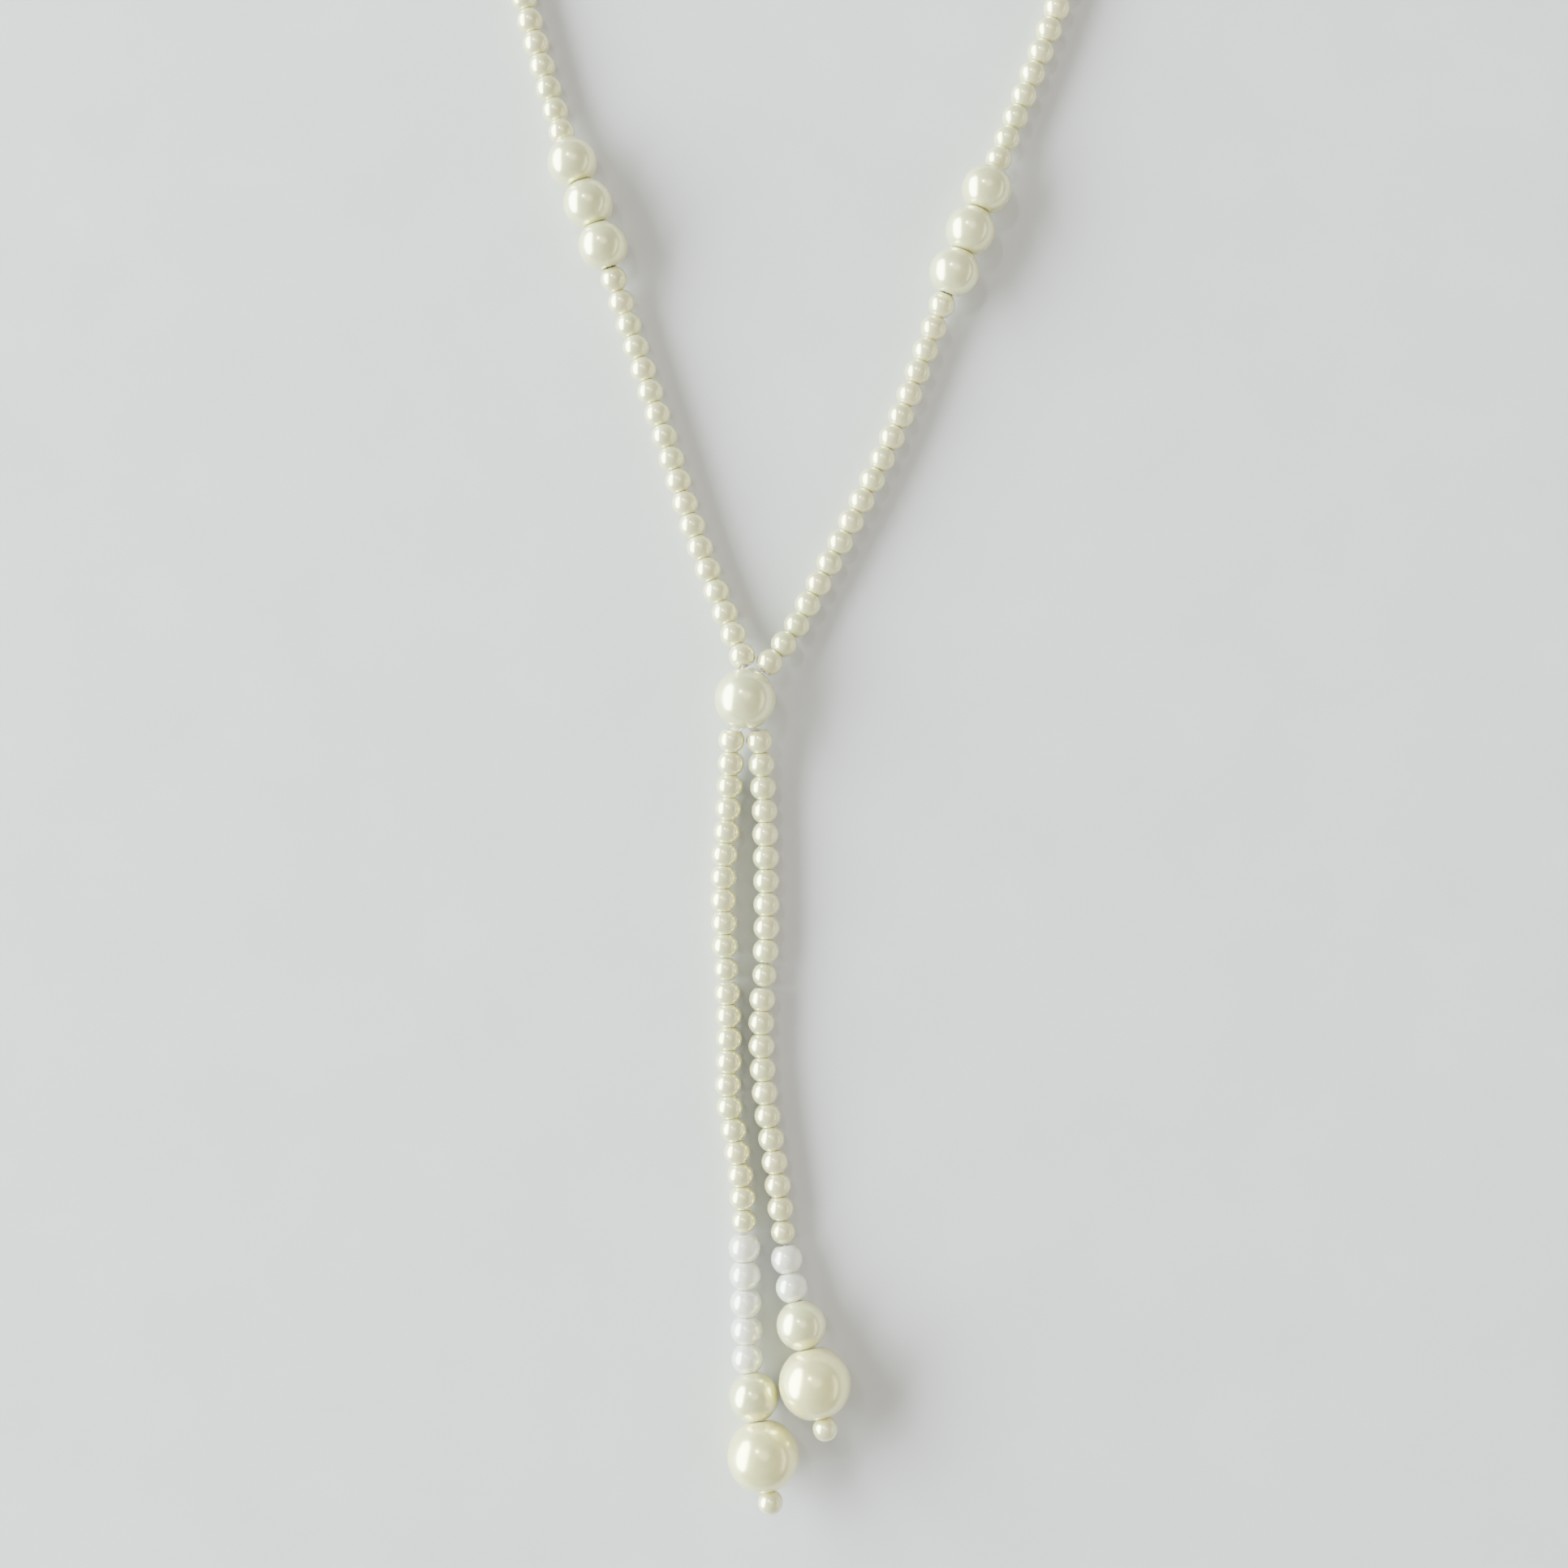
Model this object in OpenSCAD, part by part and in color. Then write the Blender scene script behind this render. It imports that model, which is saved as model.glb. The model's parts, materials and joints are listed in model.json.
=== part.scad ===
// Two-strand imitation-pearl necklace, laid flat with its clasp closed.
// Two threads run from the clasp down both sides of the neck loop, pass together through one
// slider pearl and go on as two tassels of unequal length, each ending in a large drop pearl.
// Z = 0 is the surface that it lies on, and +Y points from the tassels to the clasp.

/* [Pearls] */
// Diameter of the small pearls
small_d = 4.3; // [4.1:0.1:4.3]
// Length of a small pearl along its hole
small_len = 3.46; // [3.3:0.02:3.46]
// Diameter of the frosted pearls above the drops
frosted_d = 5.1; // [4.6:0.1:5.2]
// Diameter of the accent pearls on the neck strands
accent_d = 8; // [7:0.1:8]
// Diameter of the slider pearl that both threads share
slider_d = 9.86; // [9.5:0.02:9.9]
// Diameter of the drop pearls
drop_d = 11.6; // [11:0.1:11.6]
// Diameter of the stop beads at the thread ends
stop_d = 4; // [3.6:0.1:4.2]

/* [Threads] */
// Diameter of the stringing thread
thread_d = 0.44; // [0.3:0.02:0.44]
// Slack between two neighbouring pearls of the neck strands and the right tassel
loose_slack = 0.28; // [0.26:0.01:0.3]
// Slack between two neighbouring pearls of the left tassel
tight_slack = 0.2; // [0.2:0.01:0.3]

/* [Clasp] */
// Diameter of the wire of the jump ring and the end ring
ring_wire_d = 0.7; // [0.5:0.05:0.7]
// Thickness of the clasp body
clasp_thick = 2.2; // [2:0.1:2.4]

/* [Hidden] */
$fn = 48;

// Colours
CREAM = [0.93, 0.90, 0.82];
WARM_CREAM = [0.93, 0.88, 0.74];
FROST = [0.90, 0.90, 0.89];
THREAD = [0.94, 0.93, 0.90];
STEEL = [0.78, 0.79, 0.80];

// Kinds of pearl, each [diameter, length along the hole, hole diameter].
// A turn pearl is a little rounder and smaller, so its neighbours can swing round it.
SMALL = [small_d, small_len, 1.0];
TURN = [4.0, 3.7, 1.0];
ACCENT = [accent_d, accent_d - 1.2, 1.3];
FROSTED = [frosted_d, frosted_d - 0.9, 1.0];
SPACER = [8, 7.2, 1.3];
DROP = [drop_d, drop_d - 1.1, 1.6];
STOP = [stop_d, stop_d - 0.7, 1.0];
SLIDER = [slider_d, 9.4, 1.8];

function repeat(kind, count) = [for (i = [1:count]) kind];
function heading(a) = [cos(a), sin(a)];

// ---- plan of each strand: first pearl's place, its pearls in order, and the heading of the
// thread in degrees at chosen pearls, between which it turns evenly
neck_small = 18;
accents = 3;
left_side = 8;
right_side = 9;
tassel_upper = 11;
tassel_lower = 11;

left_neck_kinds = concat(repeat(SMALL, neck_small), repeat(ACCENT, accents),
                         repeat(SMALL, left_side), [TURN]);
left_neck_start = [-0.5, 6.9];
left_neck_turns = [[1, 112], [4, 111], [8, 107], [14, 108], [18, 108], [20, 111], [22, 107],
                   [30, 103]];

right_neck_kinds = concat(repeat(SMALL, neck_small), repeat(ACCENT, accents),
                          repeat(SMALL, right_side), [TURN]);
right_neck_start = [3.9, 5.9];
right_neck_turns = [[1, 52], [3, 62], [9, 63], [14, 70], [17, 70], [21, 68], [26, 69], [31, 73]];

tassel_smalls = concat(repeat(SMALL, tassel_upper - 1), [TURN],
                       repeat(SMALL, tassel_lower - 1), [TURN]);
left_frosted = 5;
left_tassel_kinds = concat(tassel_smalls, repeat(FROSTED, left_frosted), [SPACER, DROP, STOP]);
left_tassel_start = [-2.2, -6.5];
left_tassel_turns = [[1, 268], [5, 265], [8, 272], [12, 273], [15, 268], [17, 280], [19, 278],
                     [22, 271], [26, 272], [27, 280], [29, 279]];
right_frosted = 2;
right_tassel_kinds = concat(tassel_smalls, repeat(FROSTED, right_frosted), [SPACER, DROP, STOP]);
right_tassel_start = [2.3, -6.6];
right_tassel_turns = [[1, 275], [4, 272], [8, 270], [11, 265], [14, 273], [17, 279], [21, 276],
                      [23, 280], [24, 285], [26, 282]];

// Distance along the thread from pearl i - 1 to pearl i
function pitch(kinds, i, slack) = kinds[i - 1][1] / 2 + kinds[i][1] / 2 + slack;
function walk(kinds, start, turns, slack = loose_slack) =
    [for (i = 0, p = start; i < len(kinds); i = i + 1,
          p = i < len(kinds) ? p + pitch(kinds, i, slack) * heading(lookup(i, turns)) : p) p];

left_neck_plan = walk(left_neck_kinds, left_neck_start, left_neck_turns);
right_neck_plan = walk(right_neck_kinds, right_neck_start, right_neck_turns);
left_tassel_plan = walk(left_tassel_kinds, left_tassel_start, left_tassel_turns, tight_slack);
right_tassel_plan = walk(right_tassel_kinds, right_tassel_start, right_tassel_turns);

// ---- the neck loop closes as a parallelogram: slider, left turn pearl, clasp, right turn pearl
left_turn = left_neck_plan[len(left_neck_plan) - 1];
right_turn = right_neck_plan[len(right_neck_plan) - 1];
clasp_point = left_turn + right_turn;

// Clasp line: the hook's centre is behind the point where the end ring hangs in it
clasp_heading = 3;
ring_heading = -15;
hook_r = 2.1;
hook_wire_r = 0.5;
hook_reach = 0.8;
eye_back = 10.6;
ring_mean_r = 1.85;
ring_link = 2 * ring_mean_r;
tip_back = 2.9;
hardware_z = 2.2;
hook_centre = clasp_point - hook_reach * heading(clasp_heading);
eye_point = hook_centre - eye_back * heading(clasp_heading);
left_tip_loop = eye_point - ring_link * heading(clasp_heading);
left_tip = left_tip_loop - tip_back * heading(clasp_heading);
right_tip_loop = clasp_point + ring_link * heading(ring_heading);
right_tip = right_tip_loop + tip_back * heading(ring_heading);

// ---- the two strands behind the neck follow smooth curves, evenly filled with small pearls
function curve(c, t) = pow(1 - t, 3) * c[0] + 3 * t * pow(1 - t, 2) * c[1]
    + 3 * t * t * (1 - t) * c[2] + pow(t, 3) * c[3];
function next_t(c, t, gap, lo, hi, rounds = 18) = rounds == 0 ? (lo + hi) / 2 :
    norm(curve(c, (lo + hi) / 2) - curve(c, t)) < gap
        ? next_t(c, t, gap, (lo + hi) / 2, hi, rounds - 1)
        : next_t(c, t, gap, lo, (lo + hi) / 2, rounds - 1);
function end_t(c, gap, steps, t = 0) = steps == 0 ? t :
    end_t(c, gap, steps - 1, next_t(c, t, gap, t, t + 0.12));
function even_gap(c, steps, lo = 3, hi = 5, rounds = 16) = rounds == 0 ? (lo + hi) / 2 :
    end_t(c, (lo + hi) / 2, steps) < 1
        ? even_gap(c, steps, (lo + hi) / 2, hi, rounds - 1)
        : even_gap(c, steps, lo, (lo + hi) / 2, rounds - 1);
function along(c, steps, gap) = [for (i = 0, t = 0; i < steps; i = i + 1,
                                      t = next_t(c, t, gap, t, t + 0.12)) if (i > 0) curve(c, t)];

left_nape = 35;
right_nape = 34;
nape_handle = 50;
left_curve = [left_turn, left_turn + nape_handle * heading(106),
              left_tip - nape_handle * heading(12), left_tip];
right_curve = [right_turn, right_turn + nape_handle * heading(74),
               right_tip + nape_handle * heading(-24), right_tip];
left_nape_plan = along(left_curve, left_nape + 1, even_gap(left_curve, left_nape + 1));
right_nape_plan = along(right_curve, right_nape + 1, even_gap(right_curve, right_nape + 1));

// ---- a strand in space: [pearl kinds, centres]. Each pearl lies on the surface unless a larger
// neighbour holds the thread up, from which the thread falls at this slope.
thread_fall = 0.18;
function run(plan) = [for (i = 0, s = 0; i < len(plan); i = i + 1,
                           s = i < len(plan) ? s + norm(plan[i] - plan[i - 1]) : s) s];
function level(kinds, s, i) = max([for (j = [0:len(kinds) - 1])
    kinds[j][0] / 2 - thread_fall * abs(s[i] - s[j])]);
function in_space(kinds, plan) = let (s = run(plan))
    [for (i = [0:len(plan) - 1]) [plan[i].x, plan[i].y, level(kinds, s, i)]];

slider_centre = [0, 0, slider_d / 2];
function strand(kinds, plan) = [concat([SLIDER], kinds),
                                in_space(concat([SLIDER], kinds), concat([[0, 0]], plan))];
left_neck = strand(concat(left_neck_kinds, repeat(SMALL, left_nape)),
                   concat(left_neck_plan, left_nape_plan));
right_neck = strand(concat(right_neck_kinds, repeat(SMALL, right_nape)),
                    concat(right_neck_plan, right_nape_plan));
// A tassel's stop bead is drawn tight against the drop pearl, in line with the last two big pearls
function drawn_tight(s) = let (last = len(s[1]) - 1, drop = s[1][last - 1],
                               line = drop - s[1][last - 2],
                               gap = pitch(s[0], last, tight_slack))
    [s[0], [for (i = [0:last]) i < last ? s[1][i] : drop + gap * line / norm(line)]];
left_tassel = drawn_tight(strand(left_tassel_kinds, left_tassel_plan));
right_tassel = drawn_tight(strand(right_tassel_kinds, right_tassel_plan));

// Pearl numbers in a strand, where 0 is the slider pearl
first_accent = neck_small + 1;
after_accents = neck_small + accents + 1;
left_turn_at = len(left_neck_kinds);
right_turn_at = len(right_neck_kinds);
tassel_turn_at = tassel_upper;
drop_turn_at = tassel_upper + tassel_lower;

// The two threads pass side by side through the slider pearl, each this far from its middle
hole_side = 0.4;
function unit(v) = v / norm(v);
// Direction of the hole through pearl i, away from the slider; the first pearl lines up with the
// second, and its thread slants across to the slider's hole. The big pearls of a tassel and the stop
// bead share one line, so that their flat ends meet.
function in_tassel_end(s, i) = s[0][len(s[0]) - 1] == STOP && i > len(s[1]) - 4;
function axis(s, i) = in_tassel_end(s, i)
    ? unit(s[1][len(s[1]) - 1] - s[1][len(s[1]) - 3])
    : unit((i + 1 < len(s[1]) ? s[1][i + 1] : 2 * s[1][i] - s[1][i - 1]) - s[1][i == 1 ? 1 : i - 1]);
function hole_end(s, i, side) = s[1][i] + side * s[0][i][1] / 2 * axis(s, i);
function between(s, i) = (hole_end(s, i, 1) + hole_end(s, i + 1, -1)) / 2;

// ---- the whole necklace stands over the middle of its own bounding box
function reach(s, k, side) = [for (i = [0:len(s[1]) - 1]) s[1][i][k] + side * s[0][i][0] / 2];
low_x = min(concat(reach(left_neck, 0, -1), reach(left_tassel, 0, -1)));
high_x = max(concat(reach(right_neck, 0, 1), reach(right_tassel, 0, 1)));
low_y = min(reach(left_tassel, 1, -1));
high_y = hook_centre.y + hook_r + hook_wire_r;
middle = [(low_x + high_x) / 2, (low_y + high_y) / 2, 0];

// ---- modules
// A drilled pearl: a ball whose two ends are cut flat where the hole comes out
module pearl(kind, centre, dir) {
    tilt = acos(dir.z / norm(dir));
    translate(centre) rotate([0, tilt, atan2(dir.y, dir.x)])
    difference() {
        intersection() {
            sphere(d = kind[0]);
            cylinder(d = kind[0] + 1, h = kind[1], center = true);
        }
        cylinder(d = kind[2], h = kind[0] + 1, center = true);
    }
}

// Pearls number a to b of a strand
module pearls(s, a, b, tint = CREAM) {
    color(tint) translate(-middle)
    for (i = [a:b]) pearl(s[0][i], s[1][i], axis(s, i));
}

// A thread of eight sides through the given points
sides = 8;
function cross_dir(p, i) = unit((i + 1 < len(p) ? p[i + 1] : p[i]) - (i > 0 ? p[i - 1] : p[i]));
function ring(p, i) = let (d = cross_dir(p, i), a = unit(cross([0, 0, 1], d)), b = cross(d, a))
    [for (k = [0:sides - 1]) p[i] + thread_d / 2 * (cos(360 * k / sides) * a
                                                   + sin(360 * k / sides) * b)];
module thread(p) {
    last = len(p) - 1;
    color(THREAD) translate(-middle)
    polyhedron(
        points = [for (i = [0:last]) each ring(p, i)],
        faces = concat(
            [[for (k = [0:sides - 1]) k]],
            [for (i = [0:last - 1], k = [0:sides - 1]) let (n = (k + 1) % sides)
                [i * sides + k, (i + 1) * sides + k, (i + 1) * sides + n, i * sides + n]],
            [[for (k = [sides - 1:-1:0]) last * sides + k]]));
}

// The thread stops this far from the centre of a pearl that it swings round
turn_clear = 2.04;
slider_clear = 5.0;
function toward(from, to, distance) = from + distance * unit(to - from);
function mids(s, a, b) = [for (i = [a:b]) between(s, i)];

// ---- slider pearl, the root of the piece
module slider_pearl() {
    color(CREAM) translate(-middle) pearl(SLIDER, slider_centre, [0, 1, 0]);
}
module slider_thread() {
    for (side = [-1, 1])
        thread([for (y = [-4.6, 0, 4.6]) slider_centre + [side * hole_side, y, 0]]);
}

// ---- neck strands; s is the strand and t the number of its turn pearl
module neck_pearls(s) { pearls(s, 1, neck_small); }
module accent(s, which) { pearls(s, first_accent + which, first_accent + which); }
module side_pearls(s, t) { pearls(s, after_accents, t - 1); }
module neck_thread(s, t) {
    hole = hole_end(s, 1, -1);
    thread(concat([slider_centre + slider_clear * unit(hole - slider_centre), hole],
                  mids(s, 1, t - 2), [toward(s[1][t], hole_end(s, t - 1, 1), turn_clear)]));
}
module turn_pearl(s, t) { pearls(s, t, t); }
module turn_thread(s, t) {
    thread([for (side = [-1, 0, 1]) s[1][t] + side * 1.7 * axis(s, t)]);
}
module nape_pearls(s, t) { pearls(s, t + 1, len(s[1]) - 1); }
module nape_thread(s, t, tip) {
    last = len(s[1]) - 1;
    end = [tip.x, tip.y, hardware_z];
    thread(concat([toward(s[1][t], hole_end(s, t + 1, -1), turn_clear)], mids(s, t + 1, last - 1),
                  [hole_end(s, last, 1), toward(end, hole_end(s, last, 1), knot_d / 2)]));
}

// ---- thread end inside its bead tip: a knot, held by a round cup with a wire loop
knot_d = 1.9;
cup_d = 3.5;
cup_wall = 0.35;
tip_wire_r = 0.25;
tip_loop_r = 0.9;
module knot(tip) {
    color(THREAD) translate([tip.x, tip.y, hardware_z] - middle) sphere(d = knot_d);
}
// Half section of the cup: its axis is the thread's, and the thread comes in at the low end
module cup_profile() {
    r = cup_d / 2;
    i = r - cup_wall;
    polygon([[0.45, -r + 0.05], [0.7 * r, -r + 0.3], [r, -0.4 * r], [r, 0.4 * r], [0.7 * r, r - 0.3],
             [0, r], [0, i], [0.6 * r, i - 0.2], [i, 0.3 * r], [i, -0.3 * r], [0.6 * r, -i + 0.2],
             [0.45, -i]]);
}
module bead_tip(tip, turn) {
    color(STEEL) translate([tip.x, tip.y, hardware_z] - middle) rotate(turn) {
        rotate([0, 90, 0]) rotate_extrude() cup_profile();
        translate([cup_d / 2 - 0.15, 0, 0]) rotate([0, 90, 0])
            cylinder(r = tip_wire_r, h = tip_back - tip_loop_r - cup_d / 2 + 0.15);
        translate([tip_back, 0, 0]) rotate_extrude() translate([tip_loop_r, 0])
            circle(r = tip_wire_r);
    }
}

// An upright wire ring that hangs in two loops, from one point along a heading
module wire_ring(point, turn) {
    color(STEEL) translate([point.x, point.y, hardware_z] - middle) rotate(turn)
    translate([ring_mean_r, 0, 0]) rotate([90, 0, 0])
    rotate_extrude() translate([ring_mean_r, 0]) circle(d = ring_wire_d);
}

// ---- lobster clasp, drawn with the hook's centre at the origin and the strand behind it
module on_clasp() {
    translate([hook_centre.x, hook_centre.y, hardware_z] - middle) rotate(clasp_heading) children();
}
pin_at = [-6, 0.5];
pin_d = 0.8;
slot_h = 0.9;
lever_h = 0.8;
eye_r = 1.0;
eye_wire_r = 0.35;
module clasp_outline() {
    polygon([[-9.6, -0.7], [-7.4, -1.7], [-4.2, -2.3], [-1.4, -2.4], [-1.7, -1.5], [-2.2, -0.6],
             [-2.5, 0.6], [-3.6, 1.7], [-7.2, 1.5], [-9.6, 0.7]]);
}
module clasp_body() {
    color(STEEL) on_clasp() {
        rotate(-160) rotate_extrude(angle = 232) translate([hook_r, 0]) circle(r = hook_wire_r);
        translate([-eye_back, 0, 0]) rotate_extrude() translate([eye_r, 0])
            circle(r = eye_wire_r);
        difference() {
            translate([0, 0, -clasp_thick / 2]) linear_extrude(clasp_thick) clasp_outline();
            translate([-8.4, -0.9, -slot_h / 2]) cube([8, 4, slot_h]);
            translate([pin_at.x, pin_at.y, -clasp_thick]) cylinder(d = pin_d, h = 2 * clasp_thick);
        }
    }
}
module clasp_pin() {
    color(STEEL) on_clasp() translate([pin_at.x, pin_at.y, -clasp_thick / 2 - 0.1])
        cylinder(d = pin_d, h = clasp_thick + 0.2);
}
// The gate arm closes the hook, and the thumb piece stands out of the clasp's side
module lever_outline() {
    polygon([[-6.9, -0.3], [-5.2, -0.3], [-3.4, 0.9], [-1.8, 1.75], [0.2, 1.75], [0.2, 2.45],
             [-2.4, 2.45], [-4.4, 1.9], [-5.6, 1.9], [-6.0, 3.0], [-6.9, 3.0], [-7.0, 1.4]]);
}
module clasp_lever() {
    color(STEEL) on_clasp() translate([0, 0, -lever_h / 2]) difference() {
        linear_extrude(lever_h) lever_outline();
        translate([pin_at.x, pin_at.y, -1]) cylinder(d = pin_d + 0.06, h = 3);
    }
}
// A bent leaf that lies in the slot under the lever
module clasp_spring() {
    color(STEEL) on_clasp() translate([0, 0, -0.3]) linear_extrude(0.6)
        polygon([[-8.3, -0.85], [-4.2, -0.85], [-4.2, -0.65], [-8.1, -0.65], [-8.1, 0.9],
                 [-8.3, 0.9]]);
}

// ---- tassels
module tassel_upper_pearls(s) { pearls(s, 1, tassel_turn_at); }
module tassel_upper_thread(s) {
    hole = hole_end(s, 1, -1);
    thread(concat([slider_centre + slider_clear * unit(hole - slider_centre), hole],
                  mids(s, 1, tassel_turn_at - 1), [s[1][tassel_turn_at]]));
}
module tassel_lower_pearls(s) { pearls(s, tassel_turn_at + 1, drop_turn_at); }
module tassel_lower_thread(s) {
    thread(concat([toward(s[1][tassel_turn_at], hole_end(s, tassel_turn_at + 1, -1), turn_clear)],
                  mids(s, tassel_turn_at + 1, drop_turn_at - 1), [s[1][drop_turn_at]]));
}
module frosted_pearls(s, count) { pearls(s, drop_turn_at + 1, drop_turn_at + count, FROST); }
module from_end(s, back, tint) {
    i = len(s[1]) - 1 - back;
    pearls(s, i, i, tint);
}
module drop_thread(s) {
    last = len(s[1]) - 1;
    thread(concat([toward(s[1][drop_turn_at], hole_end(s, drop_turn_at + 1, -1), turn_clear)],
                  mids(s, drop_turn_at + 1, last - 2), [hole_end(s, last, -1), hole_end(s, last, 1)]));
}

slider_pearl();
slider_thread();
neck_pearls(left_neck);  // left_neck_pearls
accent(left_neck, 0);  // left_accent_low
accent(left_neck, 1);  // left_accent_mid
accent(left_neck, 2);  // left_accent_high
side_pearls(left_neck, left_turn_at);  // left_side_pearls
neck_thread(left_neck, left_turn_at);  // left_neck_thread
turn_pearl(left_neck, left_turn_at);  // left_turn_pearl
turn_thread(left_neck, left_turn_at);  // left_turn_thread
nape_pearls(left_neck, left_turn_at);  // left_nape_pearls
nape_thread(left_neck, left_turn_at, left_tip);  // left_nape_thread
knot(left_tip);  // left_knot
bead_tip(left_tip, clasp_heading);  // left_bead_tip
wire_ring(left_tip_loop, clasp_heading);  // jump_ring
clasp_body();
clasp_lever();
clasp_pin();
clasp_spring();
neck_pearls(right_neck);  // right_neck_pearls
accent(right_neck, 0);  // right_accent_low
accent(right_neck, 1);  // right_accent_mid
accent(right_neck, 2);  // right_accent_high
side_pearls(right_neck, right_turn_at);  // right_side_pearls
neck_thread(right_neck, right_turn_at);  // right_neck_thread
turn_pearl(right_neck, right_turn_at);  // right_turn_pearl
turn_thread(right_neck, right_turn_at);  // right_turn_thread
nape_pearls(right_neck, right_turn_at);  // right_nape_pearls
nape_thread(right_neck, right_turn_at, right_tip);  // right_nape_thread
knot(right_tip);  // right_knot
bead_tip(right_tip, ring_heading + 180);  // right_bead_tip
wire_ring(clasp_point, ring_heading);  // end_ring
tassel_upper_pearls(left_tassel);  // left_tassel_upper_pearls
tassel_upper_thread(left_tassel);  // left_tassel_upper_thread
tassel_lower_pearls(left_tassel);  // left_tassel_lower_pearls
tassel_lower_thread(left_tassel);  // left_tassel_lower_thread
frosted_pearls(left_tassel, left_frosted);  // left_frosted_pearls
from_end(left_tassel, 2, CREAM);  // left_drop_spacer
from_end(left_tassel, 1, WARM_CREAM);  // left_drop_pearl
from_end(left_tassel, 0, CREAM);  // left_stop_bead
drop_thread(left_tassel);  // left_drop_thread
tassel_upper_pearls(right_tassel);  // right_tassel_upper_pearls
tassel_upper_thread(right_tassel);  // right_tassel_upper_thread
tassel_lower_pearls(right_tassel);  // right_tassel_lower_pearls
tassel_lower_thread(right_tassel);  // right_tassel_lower_thread
frosted_pearls(right_tassel, right_frosted);  // right_frosted_pearls
from_end(right_tassel, 2, CREAM);  // right_drop_spacer
from_end(right_tassel, 1, WARM_CREAM);  // right_drop_pearl
from_end(right_tassel, 0, CREAM);  // right_stop_bead
drop_thread(right_tassel);  // right_drop_thread
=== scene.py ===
import json
import math

import bmesh
import bpy
import numpy as np
from mathutils import Matrix, Vector


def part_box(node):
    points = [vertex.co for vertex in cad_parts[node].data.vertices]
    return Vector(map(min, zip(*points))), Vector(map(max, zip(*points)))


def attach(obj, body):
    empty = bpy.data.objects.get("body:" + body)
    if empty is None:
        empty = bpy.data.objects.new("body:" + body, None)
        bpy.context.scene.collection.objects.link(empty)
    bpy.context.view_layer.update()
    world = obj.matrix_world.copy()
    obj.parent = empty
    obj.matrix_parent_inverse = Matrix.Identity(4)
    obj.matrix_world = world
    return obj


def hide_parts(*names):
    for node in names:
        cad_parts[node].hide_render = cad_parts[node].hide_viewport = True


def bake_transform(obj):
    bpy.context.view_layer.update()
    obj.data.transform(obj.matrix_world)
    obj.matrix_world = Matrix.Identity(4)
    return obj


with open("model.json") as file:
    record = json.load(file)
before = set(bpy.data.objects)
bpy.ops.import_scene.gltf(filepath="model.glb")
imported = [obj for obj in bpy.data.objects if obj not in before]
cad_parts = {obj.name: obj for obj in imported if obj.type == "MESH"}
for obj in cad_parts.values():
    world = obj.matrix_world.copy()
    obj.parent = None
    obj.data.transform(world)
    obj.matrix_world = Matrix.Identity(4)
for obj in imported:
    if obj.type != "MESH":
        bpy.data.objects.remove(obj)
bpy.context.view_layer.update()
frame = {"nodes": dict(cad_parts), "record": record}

# A two-strand imitation-pearl necklace on a pale table. Every pearl is rebuilt as a drilled, coated
# bead round the centre and hole of its CAD solid, and the threads run through them as twisted cord.
# Lengths are in metres, except inside the findings, which are shaped in millimetres.

MM = 0.001
SIDES = ("left", "right")
rng = np.random.default_rng(11)
body_of_node = {node: body for body, nodes in frame["record"]["behaviour"]["bodies"].items()
                for node in nodes}


# ---------------------------------------------------------------- reading the CAD pearls
def islands(node):
    """The separate solids of a CAD node, each as triangles: an array of shape (n, 3, 3)."""
    bm = bmesh.new()
    bm.from_mesh(frame["nodes"][node].data)
    bmesh.ops.remove_doubles(bm, verts=bm.verts, dist=1e-6)
    bmesh.ops.triangulate(bm, faces=bm.faces)
    left = set(bm.faces)
    solids = []
    while left:
        first = left.pop()
        stack, found = [first], [first]
        while stack:
            for vert in stack.pop().verts:
                for face in vert.link_faces:
                    if face in left:
                        left.remove(face)
                        stack.append(face)
                        found.append(face)
        solids.append(np.array([[v.co[:] for v in f.verts] for f in found]))
    bm.free()
    return solids


def measure_pearl(tris):
    """Centre, hole direction, radius and half length of one drilled pearl."""
    volume = np.einsum("ij,ij->i", tris[:, 0], np.cross(tris[:, 1], tris[:, 2])) / 6
    centre = (volume[:, None] * tris.sum(1) / 4).sum(0) / volume.sum()
    local = tris - centre
    volume = np.einsum("ij,ij->i", local[:, 0], np.cross(local[:, 1], local[:, 2])) / 6
    total = local.sum(1)
    spread = (np.einsum("n,nki,nkj->ij", volume, local, local)
              + np.einsum("n,ni,nj->ij", volume, total, total))
    axis = np.linalg.eigh(spread)[1][:, 0]
    points = local.reshape(-1, 3)
    along = np.abs(points @ axis)
    across = np.linalg.norm(points - np.outer(points @ axis, axis), axis=1)
    return {"centre": centre, "axis": axis, "radius": np.linalg.norm(points, axis=1).max(),
            "half": along.max(), "hole": across.min()}


def read_strand(nodes, start):
    """The pearls of these nodes in the order in which the thread meets them."""
    here, strand = np.array(start), []
    for node in nodes:
        waiting = [measure_pearl(t) for t in islands(node)]
        while waiting:
            waiting.sort(key=lambda p: np.linalg.norm(p["centre"] - here))
            pearl = waiting.pop(0)
            pearl["node"] = node
            here = pearl["centre"]
            strand.append(pearl)
    for i, pearl in enumerate(strand):
        after = strand[min(i + 1, len(strand) - 1)]["centre"]
        before = strand[i - 1]["centre"] if i else np.array(start)
        if pearl["axis"] @ (after - before) < 0:
            pearl["axis"] = -pearl["axis"]
    return strand


SLIDER = measure_pearl(islands("slider_pearl")[0])
SLIDER["node"] = "slider_pearl"
if SLIDER["axis"][1] < 0:
    SLIDER["axis"] = -SLIDER["axis"]

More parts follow.
